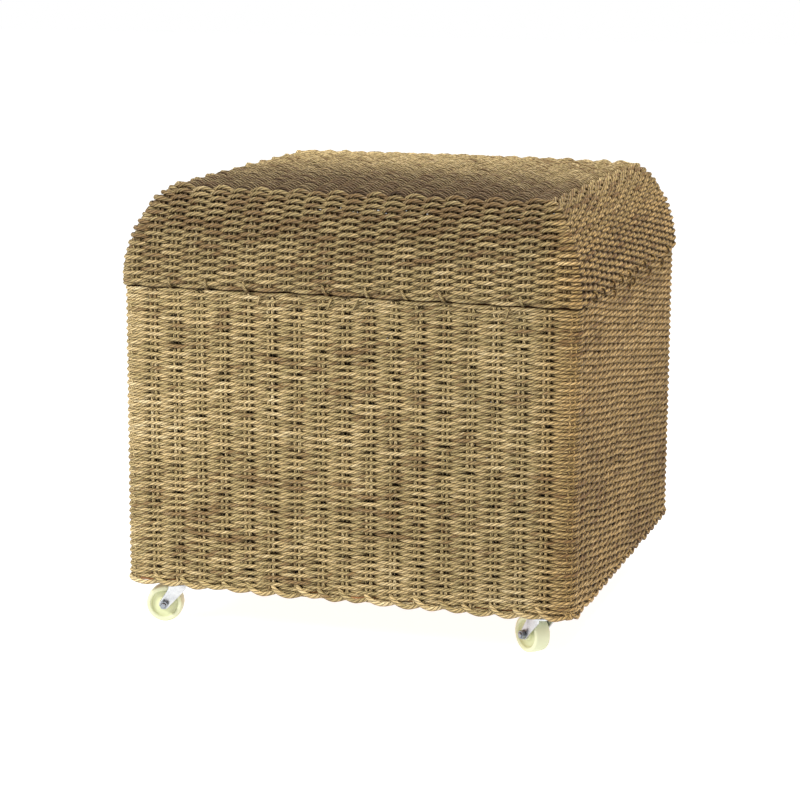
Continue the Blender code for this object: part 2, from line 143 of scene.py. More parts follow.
# %% Camera
LENS = 107.97
AZIMUTH, ELEVATION, ROLL = radians(17.19), radians(11.27), radians(0.366)
DISTANCE = 2.5657
AIM = Vector((-0.0140, -0.0046, 0.1598 + BODY_FOOT))
back = Vector((sin(AZIMUTH) * cos(ELEVATION), -cos(AZIMUTH) * cos(ELEVATION), sin(ELEVATION)))
camera_data = bpy.data.cameras.new("camera")
camera_data.lens = LENS
camera = in_scene("camera", camera_data)
camera.matrix_world = (
    Matrix.Translation(AIM + back * DISTANCE)
    @ back.to_track_quat("Z", "Y").to_matrix().to_4x4()
    @ Matrix.Rotation(ROLL, 4, "Z")
)
bpy.context.scene.camera = camera
bpy.context.scene.view_settings.view_transform = "Standard"
print("camera at", [round(v, 3) for v in camera.matrix_world.translation])


# %% Lights and floor
FILL = 0.44  # the surround's light on things; to the eye it is full white
PAPER, PAPER_ROUGH = (0.4, 0.4, 0.4, 1), 0.9
FLOOR_GLOW = 0.9
FLOOR_HALF = 12.0


def panel_light(name, place, aim, size, power, colour=(1, 1, 1)):
    lamp = bpy.data.lights.new(name, "AREA")
    lamp.shape = "DISK"
    lamp.size = size
    lamp.energy = power
    lamp.color = colour
    thing = in_scene(name, lamp)
    thing.location = place
    thing.rotation_euler = (Vector(place) - Vector(aim)).to_track_quat("Z", "Y").to_euler()


panel_light("key", (-1.5, -1.55, 1.25), (0, 0, 0.2), 0.8, 48)
panel_light("top", (0.2, 1.3, 2.4), (0, 0, 0.4), 1.0, 29)
panel_light("side", (1.15, -0.5, 2.4), (0, 0, 0.2), 0.5, 56, (1, 0.95, 0.86))
world = bpy.data.worlds.new("studio")
world.use_nodes = True
surround = world.node_tree.nodes["Background"]
surround.inputs["Color"].default_value = (1, 1, 1, 1)
seen = world.node_tree.nodes.new("ShaderNodeLightPath").outputs["Is Camera Ray"]
strength = world.node_tree.nodes.new("ShaderNodeMapRange")
strength.inputs["To Min"].default_value = FILL
strength.inputs["To Max"].default_value = 1.0
world.node_tree.links.new(seen, strength.inputs["Value"])
world.node_tree.links.new(strength.outputs["Result"], surround.inputs["Strength"])
bpy.context.scene.world = world

floor_shape = bmesh.new()
bmesh.ops.create_grid(floor_shape, x_segments=1, y_segments=1, size=FLOOR_HALF)
floor_mesh = bpy.data.meshes.new("floor")
floor_shape.to_mesh(floor_mesh)
floor_shape.free()
paper, _, paper_shader = new_finish("floor_paper")
for title, value in (("Base Color", PAPER), ("Roughness", PAPER_ROUGH),
                     ("Emission Color", (1, 1, 1, 1)), ("Emission Strength", FLOOR_GLOW)):
    paper_shader.inputs[title].default_value = value
floor_mesh.materials.append(paper)
floor = in_scene("floor", floor_mesh)

# %% [markdown]
# ## Small helpers for node trees
#
# Shader groups and Geometry Nodes trees are both made of nodes and links. These helpers add a
# node, set what is given as a plain value, and link what is given as a socket.


# %% Node helpers
def set_input(tree, node, key, value):
    """Sets an input to a plain value, or links it to another node's output."""
    if isinstance(value, bpy.types.NodeSocket):
        tree.links.new(value, node.inputs[key])
    else:
        node.inputs[key].default_value = value


def add(tree, kind, values=None, **settings):
    """Adds a node; values maps an input's name or index to what it gets."""
    node = tree.nodes.new(kind)
    for name, value in settings.items():
        setattr(node, name, value)
    for key, value in (values or {}).items():
        set_input(tree, node, key, value)
    return node


def calc(tree, operation, *values):
    """One Math node."""
    return add(tree, "ShaderNodeMath", dict(enumerate(values)), operation=operation).outputs[0]


def times(tree, first, second):
    return calc(tree, "MULTIPLY", first, second)


def vector_calc(tree, operation, *values):
    """One Vector Math node; its vector output."""
    kind = "ShaderNodeVectorMath"
    return add(tree, kind, dict(enumerate(values)), operation=operation).outputs["Vector"]


def scaled(tree, vector, number):
    kind = "ShaderNodeVectorMath"
    return add(tree, kind, {0: vector, "Scale": number}, operation="SCALE").outputs["Vector"]


def mixed(tree, share, first, second, blend="MIX"):
    """One colour Mix node, whose colour sockets are the seventh and eighth."""
    node = add(tree, "ShaderNodeMix", data_type="RGBA", blend_type=blend)
    for key, value in ((0, share), (6, first), (7, second)):
        set_input(tree, node, key, value)
    return node.outputs[2]


def joined(tree, *values):
    """A vector of up to three numbers."""
    return add(tree, "ShaderNodeCombineXYZ", dict(enumerate(values))).outputs[0]


def part(tree, vector, axis):
    return add(tree, "ShaderNodeSeparateXYZ", {0: vector}).outputs[axis]


def attribute(tree, name, output="Fac"):
    return add(tree, "ShaderNodeAttribute", attribute_name=name).outputs[output]


def object_place(tree):
    return add(tree, "ShaderNodeTexCoord").outputs["Object"]


def cloudy(tree, at, scale, detail, output="Fac"):
    """One Noise Texture."""
    values = {"Vector": at, "Scale": scale, "Detail": detail}
    return add(tree, "ShaderNodeTexNoise", values).outputs[output]


def raised(tree, shader, height, strength, distance):
    """Gives a shader its bump."""
    values = {"Height": height, "Strength": strength, "Distance": distance}
    bump = add(tree, "ShaderNodeBump", values)
    tree.links.new(bump.outputs["Normal"], shader.inputs["Normal"])


def spread(tree, value, low, high, to_low=0.0, to_high=1.0):
    """Map Range, clamped."""
    names = ("Value", "From Min", "From Max", "To Min", "To Max")
    values = dict(zip(names, (value, low, high, to_low, to_high)))
    return add(tree, "ShaderNodeMapRange", values).outputs["Result"]


def new_group(name, inputs, outputs, kind="ShaderNodeTree"):
    """A node group with named sockets; inputs is a list of (name, socket type, default)."""
    tree = bpy.data.node_groups.new(name, kind)
    for title, socket, default in inputs:
        made = tree.interface.new_socket(title, in_out="INPUT", socket_type=socket)
        if default is not None:
            made.default_value = default
    for title, socket in outputs:
        tree.interface.new_socket(title, in_out="OUTPUT", socket_type=socket)
    given = tree.nodes.new("NodeGroupInput").outputs
    return tree, given, tree.nodes.new("NodeGroupOutput").inputs


# %% [markdown]
# ## How a rope looks close to
#
# Here a rope is four strands laid round each other. On its surface that is a slanting groove about
# every five millimetres, with fine fibres along each strand. The rope's mesh carries three
# attributes for it: `along`, metres from the rope's start; `turn`, the direction round the rope
# as a cosine and a sine, which has no jump where a number of degrees would; and `tint`, a random
# number of the row's own. One group turns them into a height, a groove mask, a fibre value and a
# value for each strand, and passes on how far each spot faces down.

# %% The lay of a rope
LAY = 0.0054  # from one groove to the next along the rope
STRANDS = 4
WOBBLE, WOBBLE_PACE = 9.0, 0.21  # how far the lay slips, and how soon
ROUNDNESS = 0.55  # of a strand's back; 1 would be a plain wave
GROOVE_WIDE = 0.22
TINT_SHIFT, FIBRE_SHIFT, STRAND_SHIFT = 31.0, 57.0, 91.0  # make each row's noise its own


def rope_lay_group():
    tree, given, result = new_group(
        "rope_lay",
        [("Lay", "NodeSocketFloat", LAY)],
        [(name, "NodeSocketFloat") for name in ("Height", "Groove", "Fibre", "Strand", "Down")],
    )
    along, tint = attribute(tree, "along"), attribute(tree, "tint")
    parts = add(tree, "ShaderNodeSeparateXYZ", {0: attribute(tree, "turn", "Vector")}).outputs
    angle = calc(tree, "ARCTAN2", parts["Y"], parts["X"])
    run = calc(tree, "DIVIDE", along, given["Lay"])
    values = {"W": times(tree, run, WOBBLE_PACE), "Scale": 1.0, "Vector": (0, 0, 0)}
    wobble = add(tree, "ShaderNodeTexNoise", values, noise_dimensions="4D").outputs["Fac"]
    wobble = times(tree, wobble, WOBBLE)
    phase = times(tree, calc(tree, "ADD", run, times(tree, tint, TINT_SHIFT)), 2 * pi)
    phase = calc(tree, "ADD", calc(tree, "ADD", phase, wobble), times(tree, angle, STRANDS))
    crest = calc(tree, "MULTIPLY_ADD", calc(tree, "COSINE", phase), 0.5, 0.5)
    height = calc(tree, "POWER", crest, ROUNDNESS)
    groove = spread(tree, crest, GROOVE_WIDE, 0.0)
    fibre_at = (times(tree, phase, 1.1), times(tree, run, 0.55), times(tree, tint, FIBRE_SHIFT))
    fibre = cloudy(tree, joined(tree, *fibre_at), 1.0, 3.0)
    strand_at = (calc(tree, "DIVIDE", phase, 2 * pi), times(tree, tint, STRAND_SHIFT))
    strand = cloudy(tree, joined(tree, *strand_at), 1.0, 1.0)
    made = {"Height": height, "Groove": groove, "Fibre": fibre, "Strand": strand,
            "Down": parts["Y"]}
    for name, value in made.items():
        tree.links.new(value, result[name])
    return tree


rope_lay = rope_lay_group()
print("rope lay group has", len(rope_lay.nodes), "nodes")

# %% [markdown]
# ## The colour of dry seagrass
#
# Leaves dry to anything from pale straw through khaki to brown, and a rope changes colour as new
# leaves are twisted in. So the colour drifts slowly along each rope, differs from row to row and
# from strand to strand, and the whole basket has broad darker and lighter zones: the lid is
# browner over its front edge, and the right-hand side a little browner than the front. Painted
# shade also darkens and browns the front and the lid towards the right, where the key light falls
# off. Painted shade darkens the grooves, the undersides, where rope touches rope on the right-hand
# side, and the places where a rope dives behind a stake. On the flat top, painted shade darkens
# all that doesn't face up, most at the front.

# %% Straw colours
PALE = (0.78, 0.63, 0.35, 1)
STRAW = (0.59, 0.43, 0.195, 1)
KHAKI = (0.43, 0.33, 0.14, 1)
BROWN = (0.28, 0.175, 0.068, 1)
SPLIT = (0.86, 0.75, 0.50, 1)
# the dark that the tan zones and all the painted shade mix in
DEEP = (0.035, 0.016, 0.005, 1)
MIDDLE_MOOD = 1.2  # taken off the sum of the noises, to bring it between 0 and 1
BROWN_AT, KHAKI_AT, STRAW_AT, PALE_AT = 0.16, 0.36, 0.58, 0.92
DRIFT_PACE, DRIFT_SHIFT, DRIFT_SHARE = 16.0, 211.0, 1.4
ZONE_SCALE = (3.0, 3.0, 9.0)
TAN_AND_FALLOFF_MOOD, TAN_AND_FALLOFF_SHADE = 0.26, 0.36  # how far the tan zone and the painted falloff shade to the right shift towards brown, and towards dark
# painted shade: under the ropes, in their grooves, and where a rope dives behind a stake
UNDER_SHADE, GROOVE_SHADE, DIVE_SHADE = 0.6, 0.85, 0.90
# the share of the painted shade that falls off towards the right, the painted shade where rope
# touches rope on the right-hand side, and that side's browner tint
FALLOFF_SHARE, SIDE_CONTACT_SHADE, SIDE_TINT = 0.27, 0.85, (1.0, 0.86, 0.68, 1)
SPLIT_SHARE = 0.6
RELIEF = 0.0009


def browner_and_shaded_side(tree, place):
    """A mask of the right-hand side, which has somewhat browner leaves and gets painted shade where
    rope touches rope.
    """
    return spread(tree, part(tree, place, "X"), 0.185, 0.230)


def browner_zone(tree, place):
    """A broad brown band over the lid's front shoulder and the front of its top."""
    parts = add(tree, "ShaderNodeSeparateXYZ", {0: place}).outputs
    front = spread(tree, parts["Y"], 0.03, -0.15)
    high = spread(tree, parts["Z"], 0.362, 0.432, 0.5, 1.0)
    left = spread(tree, parts["X"], 0.235, 0.185)
    return times(tree, times(tree, front, high), left)


def seagrass(name, lid=False, top=False):
    made, tree, shader = new_finish(name)
    lay = add(tree, "ShaderNodeGroup", node_tree=rope_lay).outputs
    along, tint, dive = (attribute(tree, title) for title in ("along", "tint", "dive"))
    place = object_place(tree)
    drift_at = joined(tree, times(tree, along, DRIFT_PACE), times(tree, tint, DRIFT_SHIFT))
    drift = cloudy(tree, drift_at, 1.0, 2.0)
    zone = cloudy(tree, vector_calc(tree, "MULTIPLY", place, ZONE_SCALE), 1.0, 2.0)
    mood = calc(tree, "ADD", times(tree, drift, DRIFT_SHARE), zone)
    mood = calc(tree, "ADD", mood, lay["Strand"])
    mood = calc(tree, "SUBTRACT", mood, MIDDLE_MOOD)
    side = browner_and_shaded_side(tree, place)
    # painted shade: towards the right the front and the lid darken and turn browner, where the key
    # light falls off
    tan_and_falloff = times(tree, spread(tree, part(tree, place, "X"), -0.15, 0.20), FALLOFF_SHARE)
    if lid:
        tan_and_falloff = calc(tree, "MAXIMUM", browner_zone(tree, place), tan_and_falloff)
    mood = calc(tree, "MULTIPLY_ADD", tan_and_falloff, -TAN_AND_FALLOFF_MOOD, mood)
    ramp = add(tree, "ShaderNodeValToRGB", {"Fac": mood})
    stops = ramp.color_ramp.elements
    stops[0].position, stops[0].color = BROWN_AT, BROWN
    stops[1].position, stops[1].color = PALE_AT, PALE
    for position, colour in ((KHAKI_AT, KHAKI), (STRAW_AT, STRAW)):
        stops.new(position).color = colour
    colour = ramp.outputs["Color"]
    shade = spread(tree, lay["Fibre"], 0.3, 0.7, 0.62, 1.28)
    shade = add(tree, "ShaderNodeCombineColor", {0: shade, 1: shade, 2: shade}).outputs[0]
    colour = mixed(tree, 1.0, colour, shade, "MULTIPLY")
    colour = mixed(tree, spread(tree, lay["Fibre"], 0.60, 0.72, 0.0, SPLIT_SHARE), colour, SPLIT)
    # the tan zone's darker leaves, and the painted falloff shade towards the right
    colour = mixed(tree, times(tree, tan_and_falloff, TAN_AND_FALLOFF_SHADE), colour, DEEP)
    colour = mixed(tree, side, colour, SIDE_TINT, "MULTIPLY")
    # painted shade in the grooves between strands
    colour = mixed(tree, times(tree, lay["Groove"], GROOVE_SHADE), colour, DEEP)
    if top:
        # painted shade: on the top, what doesn't face up is darkened, more towards the front
        nearer = spread(tree, part(tree, place, "Y"), 0.14, -0.10, 0.14, 0.86)
        under = times(tree, spread(tree, lay["Down"], -0.92, -0.66), nearer)
    else:
        # painted shade on the undersides of the ropes
        under = spread(tree, lay["Down"], 0.35, 0.95, 0.0, UNDER_SHADE)
        # painted shade where rope touches rope above and below, on the right-hand side only
        level = calc(tree, "ABSOLUTE", lay["Down"])
        contact_shade = spread(tree, level, 0.30, 0.85, 0.0, SIDE_CONTACT_SHADE)
        under = calc(tree, "MAXIMUM", under, times(tree, contact_shade, side))
    colour = mixed(tree, under, colour, DEEP)
    # painted shade where a rope dives behind a stake
    colour = mixed(tree, spread(tree, dive, 0.0, -0.80, 0.0, DIVE_SHADE), colour, DEEP)
    tree.links.new(colour, shader.inputs["Base Color"])
    tree.links.new(spread(tree, lay["Fibre"], 0.3, 0.7, 0.78, 0.55), shader.inputs["Roughness"])
    shader.inputs["Specular IOR Level"].default_value = 0.35
    relief = calc(tree, "ADD", lay["Height"], times(tree, lay["Fibre"], 0.35))
    raised(tree, shader, relief, 1.0, RELIEF)
    return made


body_seagrass = seagrass("seagrass_body")
lid_seagrass = seagrass("seagrass_lid", lid=True)
top_seagrass = seagrass("seagrass_top", lid=True, top=True)
print("seagrass finishes:", body_seagrass.name, lid_seagrass.name, top_seagrass.name)


# %% [markdown]
# ## One tree for every rope
#
# All the rope is made by one Geometry Nodes tree. What goes in is a set of guide lines, each
# with a few values at its points: `wave`, which counts stakes along the row, `out`, the way out
# of the wall, `up`, the way across the rows, `press`, which fades the weaving out where a rope
# stays at the front, `tint`, and `sway`. The tree moves the line out and in by the sine of
# `wave`. A tight rope stays out for most of its way and dives only close to a stake, which is
# what the power called Tightness does. Hand work is never straight: each rope wanders a little
# by itself, and neighbouring rows drift up and down together by more, where `sway` lets them.
# Then a ring is swept along the line.


# %% The rope tree
SHAPE_OUT = [("Geometry", "NodeSocketGeometry")]


def stored_value(tree, name, kind):
    kept = add(tree, "GeometryNodeInputNamedAttribute", {"Name": name}, data_type=kind)
    return kept.outputs[0]


def finish_tree(tree, shape, given, result):
    """Ends a Geometry Nodes tree with real copies and its material."""
    real = add(tree, "GeometryNodeRealizeInstances", {"Geometry": shape}).outputs[0]
    values = {"Geometry": real, "Material": given["Material"]}
    dressed = add(tree, "GeometryNodeSetMaterial", values)
    tree.links.new(dressed.outputs[0], result["Geometry"])
    return tree


def input_keys(tree):
    """The identifier of each of a tree's inputs, by its name."""
    items = tree.interface.items_tree
    return {item.name: item.identifier for item in items if item.in_out == "INPUT"}


def rope_tree():
    inputs = [
        ("Geometry", "NodeSocketGeometry", None),
        ("Rope Radius", "NodeSocketFloat", 0.00205),
        ("Depth", "NodeSocketFloat", 0.0026),
        ("Tightness", "NodeSocketFloat", 2.8),
        ("Wander", "NodeSocketFloat", 0.00025),
        ("Drift", "NodeSocketFloat", 0.0019),
        ("Uneven", "NodeSocketFloat", 0.3),
        ("Sides", "NodeSocketInt", 6),
        ("Seed", "NodeSocketFloat", float(SEED)),
        ("Material", "NodeSocketMaterial", None),
    ]
    tree, given, result = new_group("rope", inputs, SHAPE_OUT, "GeometryNodeTree")

    def named(name, kind="FLOAT"):
        return stored_value(tree, name, kind)

    def keep(shape, name, value, kind="FLOAT"):
        values = {"Geometry": shape, "Name": name, "Value": value}
        return add(tree, "GeometryNodeStoreNamedAttribute", values, data_type=kind).outputs[0]

    def noise(scale, shift, own=97.0):
        start = calc(tree, "ADD", given["Seed"], shift)
        key = calc(tree, "MULTIPLY_ADD", named("tint"), own, start)
        values = {"W": key, "Scale": scale, "Detail": 1.0}
        made = add(tree, "ShaderNodeTexNoise", values, noise_dimensions="4D")
        return calc(tree, "MULTIPLY_ADD", made.outputs[0], 4.0, -2.0)

    swing = calc(tree, "SINE", times(tree, named("wave"), pi))
    inward = calc(tree, "MULTIPLY_ADD", swing, -0.5, 0.5)
    inward = calc(tree, "POWER", inward, given["Tightness"])
    swing = calc(tree, "MULTIPLY_ADD", times(tree, inward, named("press")), -2.0, 1.0)
    uneven = times(tree, noise(30.0, 0.0), given["Uneven"])
    uneven = calc(tree, "MULTIPLY_ADD", uneven, 0.5, 1.0)
    reach = times(tree, times(tree, swing, given["Depth"]), uneven)
    wander = times(tree, noise(14.0, 50.0), given["Wander"])
    drift = times(tree, noise(13.0, 70.0, 0.0), given["Drift"])
    wander = calc(tree, "ADD", wander, times(tree, drift, named("sway")))
    move = vector_calc(
        tree, "ADD",
        scaled(tree, named("out", "FLOAT_VECTOR"), reach),
        scaled(tree, named("up", "FLOAT_VECTOR"), wander),
    )
    dive = keep(given["Geometry"], "dive", swing)
    moved = add(tree, "GeometryNodeSetPosition", {"Geometry": dive, "Offset": move})
    line = add(tree, "GeometryNodeMeshToCurve", {"Mesh": moved.outputs[0]})
    line = add(tree, "GeometryNodeSetCurveNormal", {"Curve": line.outputs[0]}, mode="Z_UP")
    length = add(tree, "GeometryNodeSplineParameter").outputs["Length"]
    line = keep(line.outputs[0], "along", length)
    values = {"Resolution": given["Sides"], "Radius": 1.0}
    ring = add(tree, "GeometryNodeCurvePrimitiveCircle", values)
    where = add(tree, "GeometryNodeInputPosition").outputs[0]
    ring = keep(ring.outputs[0], "turn", where, "FLOAT_VECTOR")
    fat = calc(tree, "MULTIPLY_ADD", noise(22.0, 90.0), 0.06, 1.0)
    fat = times(tree, fat, calc(tree, "MULTIPLY_ADD", named("dive"), 0.05, 1.0))
    swept = add(tree, "GeometryNodeCurveToMesh", {
        "Curve": line, "Profile Curve": ring,
        "Scale": times(tree, fat, given["Rope Radius"]), "Fill Caps": True})
    smooth = add(tree, "GeometryNodeSetShadeSmooth", {"Geometry": swept.outputs[0]})
    return finish_tree(tree, smooth.outputs[0], given, result)


rope = rope_tree()


# %% Guide lines and finished ropes
def guide_lines(name, rows):
    """A mesh of loose lines. A row is a dict: points, wave, out, up, press, tint, sway, closed."""
    counts = [len(row["points"]) for row in rows]
    starts = np.cumsum([0] + counts[:-1])
    mesh = bpy.data.meshes.new(name)
    mesh.vertices.add(sum(counts))
    points = np.concatenate([row["points"] for row in rows])
    mesh.vertices.foreach_set("co", points.astype(np.float32).ravel())
    links = []
    for start, count, row in zip(starts, counts, rows):
        first = start + np.arange(count if row["closed"] else count - 1)
        links.append(np.stack([first, start + (first - start + 1) % count], axis=1))
    links = np.concatenate(links)
    mesh.edges.add(len(links))
    mesh.edges.foreach_set("vertices", links.astype(np.int32).ravel())
    for key in ("wave", "press", "tint", "sway"):
        column = [np.broadcast_to(row[key], count) for row, count in zip(rows, counts)]
        values = np.concatenate(column).astype(np.float32)
        mesh.attributes.new(key, "FLOAT", "POINT").data.foreach_set("value", values)
    for key in ("out", "up"):
        column = [np.broadcast_to(row[key], (count, 3)) for row, count in zip(rows, counts)]
        values = np.concatenate(column).astype(np.float32).ravel()
        mesh.attributes.new(key, "FLOAT_VECTOR", "POINT").data.foreach_set("vector", values)
    return mesh


def woven(name, rows, finish, body, replaced=(), **sizes):
    """Runs the rope tree over guide lines and keeps the result as a plain mesh on a body."""
    lines = in_scene(name + "_guide", guide_lines(name + "_guide", rows))
    weave = lines.modifiers.new("rope", "NODES")
    weave.node_group = rope
    keys = input_keys(rope)
    for title, value in {**sizes, "Material": finish}.items():
        weave[keys[title]] = value
    mesh = with_modifiers(lines)
    bpy.data.objects.remove(lines, do_unlink=True)
    piece = in_scene(name, mesh)
    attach(piece, body)
    if replaced:
        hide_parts(*replaced)
    triangles = sum(len(face.vertices) - 2 for face in mesh.polygons)
    print(name, len(rows), "ropes,", triangles, "triangles")


# %% [markdown]
# ## Rows round a rounded square
#
# A row of weaving is a closed loop round the box, so its guide is a square with round corners.
# The loop starts at the back left corner, where the join of a rope is out of sight. The same
# function serves the body, whose rows are all alike, and the lid, whose rows shrink as they climb.

# %% Loop of points
STEP = 0.0031  # between rings along a rope
# each side's way along and way out: left, front, right, back
SIDE_AXES = np.array([
    ((0, -1), (-1, 0)), ((1, 0), (0, -1)), ((0, 1), (1, 0)), ((-1, 0), (0, 1))], float)


def loop(half, radius):
    """Points round a rounded square, with each one's outward normal, side number, share of the
    side and distance from its middle."""
    straight = half - radius
    quarter = 2 * straight + radius * pi / 2
    count = 4 * round(quarter / STEP)
    run = (np.arange(count) + 0.5) * (4 * quarter / count)
    side = np.minimum((run // quarter).astype(int), 3)
    local = run - side * quarter - quarter / 2
    past = np.maximum(np.abs(local) - straight, 0) / radius
    sign = np.sign(local)
    along = np.where(past > 0, sign * (straight + radius * np.sin(past)), local)
    out = np.where(past > 0, straight + radius * np.cos(past), half)
    axes = SIDE_AXES[side]
    points = along[:, None] * axes[:, 0] + out[:, None] * axes[:, 1]
    normal = (sign * np.sin(past))[:, None] * axes[:, 0] + np.cos(past)[:, None] * axes[:, 1]
    return points, normal, side, local / quarter + 0.5, along


# %% [markdown]
# ## The body's weave
#
# The front and back have eighteen stakes and the sides twenty-one, an even number all round, so
# that a rope that starts in front of a stake comes back to it behind. Each row is set one stake
# on from the row below: that is a plain weave. Four bands of rows keep each mesh a handy size.

# %% Body rows
ROW = 0.00347
CORNER_FADE = 0.014  # from a corner, the rope's swing grows over this length
CORNER_PRESS = 0.35
CALM, SEAM_SWAY, FOOT_SWAY = 0.014, 0.4, 0.3  # rows this near the seam or foot stay more in line
WALE_PRESS, WALE_LONG = 0.78, 0.014  # near the seam they also weave less deeply, as a binding edge
ROPE_CORNER = CORNER_RADIUS - HALF_WALL
STAKES = np.array([21, 18, 21, 18])


def wale(distance):
    """How deeply a row weaves at a distance from the seam."""
    return np.clip(distance / WALE_LONG, WALE_PRESS, 1)


def guide(points, out, up=(0, 0, 1), wave=0.0, press=0.0, sway=0.0, closed=False):
    """A rope's guide line, with a random tint; unless it is told more, the rope isn't woven."""
    return {"points": points, "wave": wave, "out": out, "up": up, "press": press, "sway": sway,
            "tint": chance.random(), "closed": closed}


chance = np.random.default_rng(SEED)
first_row, last_row = BODY_FOOT + 0.0078, SEAM_LOW - 0.0009
body_rows = []
row_count = round((last_row - first_row) / ROW) + 1
points, normal, side, share, along = loop(BODY_HALF, ROPE_CORNER)
stake_count = np.concatenate([[0], np.cumsum(STAKES)])[side] + share * STAKES[side]
from_corner = BODY_HALF - np.abs(along)
corner_press = np.clip(from_corner / CORNER_FADE, CORNER_PRESS, 1)
for row, level in enumerate(np.linspace(first_row, last_row, row_count)):
    height = np.full(len(points), level)
    at_foot = (level - first_row) / CALM + FOOT_SWAY
    body_rows.append(guide(
        np.column_stack([points, height]), np.column_stack([normal, height * 0]),
        wave=stake_count + 0.5 + row, press=corner_press * wale(last_row - level),
        sway=min((last_row - level) / CALM + SEAM_SWAY, at_foot, 1.0), closed=True))
BANDS = 4
for band in range(BANDS):
    low, high = row_count * band // BANDS, row_count * (band + 1) // BANDS
    name = f"body_rope_band_{band + 1}"
    woven(name, body_rows[low:high], body_seagrass, "base", ["body_weave"])

# %% [markdown]
# ## Stakes
#
# The ropes are woven round upright stakes. Each stake is a pair of slightly thinner cords side by
# side, and they show as two small strands wherever a rope passes behind them.

# %% Body stakes
PAIR = 0.0046
CORD = 0.0019
CORD_OUT = 0.0010  # the cords stand a little in front of the wall's middle
STAKE_STEP = 0.006
STRAIGHT = {"Depth": 0.0, "Wander": 0.0003}


def straight_cord(foot, head, out, across):
    """Guide for an upright cord between two points."""
    count = max(int(np.linalg.norm(np.subtract(head, foot)) / STAKE_STEP), 2) + 1
    share = np.linspace(0, 1, count)[:, None]
    return guide(np.array(foot) * (1 - share) + np.array(head) * share, out, across)


body_stakes = []
for number in range(sum(STAKES)):
    at = np.argmin(np.abs(stake_count - number))
    middle, outward = points[at], normal[at]
    across = np.array([-outward[1], outward[0]])
    for offset in (-PAIR / 2, PAIR / 2):
        x, y = middle + across * offset + outward * CORD_OUT
        foot, head = (x, y, BODY_FOOT + 0.003), (x, y, SEAM_LOW - 0.0006)
        body_stakes.append(straight_cord(foot, head, (*outward, 0), (*across, 0)))
woven("body_stakes", body_stakes, body_seagrass, "base", **STRAIGHT, **{"Rope Radius": CORD})

# %% [markdown]
# ## The border at the foot
#
# At the foot each stake is bent over and run along to the next ones, which makes a scalloped
# edge: a thicker strand comes out from behind, sags in front of the wall and tucks up again past
# the next stake. Every strand follows the same short list of places, told in stakes along the
# wall, distance out of its middle and height, and a curve through them keeps the bends round.
# The stakes' ends lie flat behind that edge and close it. Where one is missing, at the front or
# the back, the orange board can show through as a small warm fleck.

# %% Smooth paths and the wall's places
BORDER_ROPE = 0.0023
BORDER_PATH = (
    (-0.12, -0.0012, 0.0104), (-0.02, 0.0038, 0.0078), (0.20, 0.0050, 0.0040),
    (0.56, 0.0046, 0.0014), (0.92, 0.0030, 0.0026), (1.12, 0.0008, 0.0044), (1.28, -0.0018, 0.0066),
)


def smooth_path(places, spans=5):
    """A Catmull-Rom curve through the places."""
    p = np.array(places, float)
    p = np.vstack([2 * p[0] - p[1], p, 2 * p[-1] - p[-2]])
    t = (np.arange(spans) / spans)[:, None]
    parts = []
    for a, b, c, d in zip(p[:-3], p[1:-2], p[2:-1], p[3:]):
        cubic = (2 * a - 5 * b + 4 * c - d) * t**2 + (3 * b - a - 3 * c + d) * t**3
        parts.append(b + 0.5 * ((c - a) * t + cubic))
    return np.vstack(parts + [p[-2:-1]])


def wall_at(number):
    """Point and outward normal on the body's middle line, at a number of stakes from the start."""
    def find(pairs):
        turns = int(sum(STAKES))
        return np.column_stack([np.interp(number, stake_count, v, period=turns) for v in pairs.T])
    return find(points), find(normal)


# %% Border
BACK_LONG, BACK_HIGH = 0.62, 0.0030  # half length in stakes, and height, of the ends behind
BORDER_GAP = 0.3  # the share of those ends that is missing
BORDER_FOOT = 0.0010
SIDE_HUG = 0.6  # the strands lie closer to the wall on the two sides
border = []
for number in range(sum(STAKES)):
    path = smooth_path(BORDER_PATH)
    path[:, 0] += number + chance.normal(0, 0.09)
    sag = (path[:, 2] - BORDER_FOOT) * (1 + chance.normal(0, 0.2))
    path[:, 2] = BORDER_FOOT + sag + chance.normal(0, 0.0008)
    on_side = number % STAKES[:2].sum() < STAKES[0]
    path[:, 1] *= SIDE_HUG if on_side else 1
    place, out = wall_at(path[:, 0])
    place = place + out * path[:, 1:2]
    out = np.column_stack([out, np.zeros(len(out))])
    border.append(guide(np.column_stack([place, BODY_FOOT + path[:, 2]]), out))
    if on_side or chance.random() > BORDER_GAP:
        run = np.linspace(-BACK_LONG, BACK_LONG, 9) + number + 0.5
        place, out = wall_at(run)
        level = np.full((len(run), 1), BODY_FOOT + BACK_HIGH + chance.normal(0, 0.0004))
        border.append(guide(np.hstack([place, level]), np.hstack([out, level * 0])))
woven("foot_border", border, body_seagrass, "base", **STRAIGHT, **{"Rope Radius": BORDER_ROPE})

# %% [markdown]
# ## The shape of the lid
#
# The lid's wall goes straight up for a centimetre and then leans in over a full, round shoulder:
# a superellipse, which is what a quarter circle becomes when its power is changed. What the rope
# follows is the middle of the wall, half a wall inside the outer face. The places along it are
# measured by arc length, so that the rows are evenly packed whatever the slope.

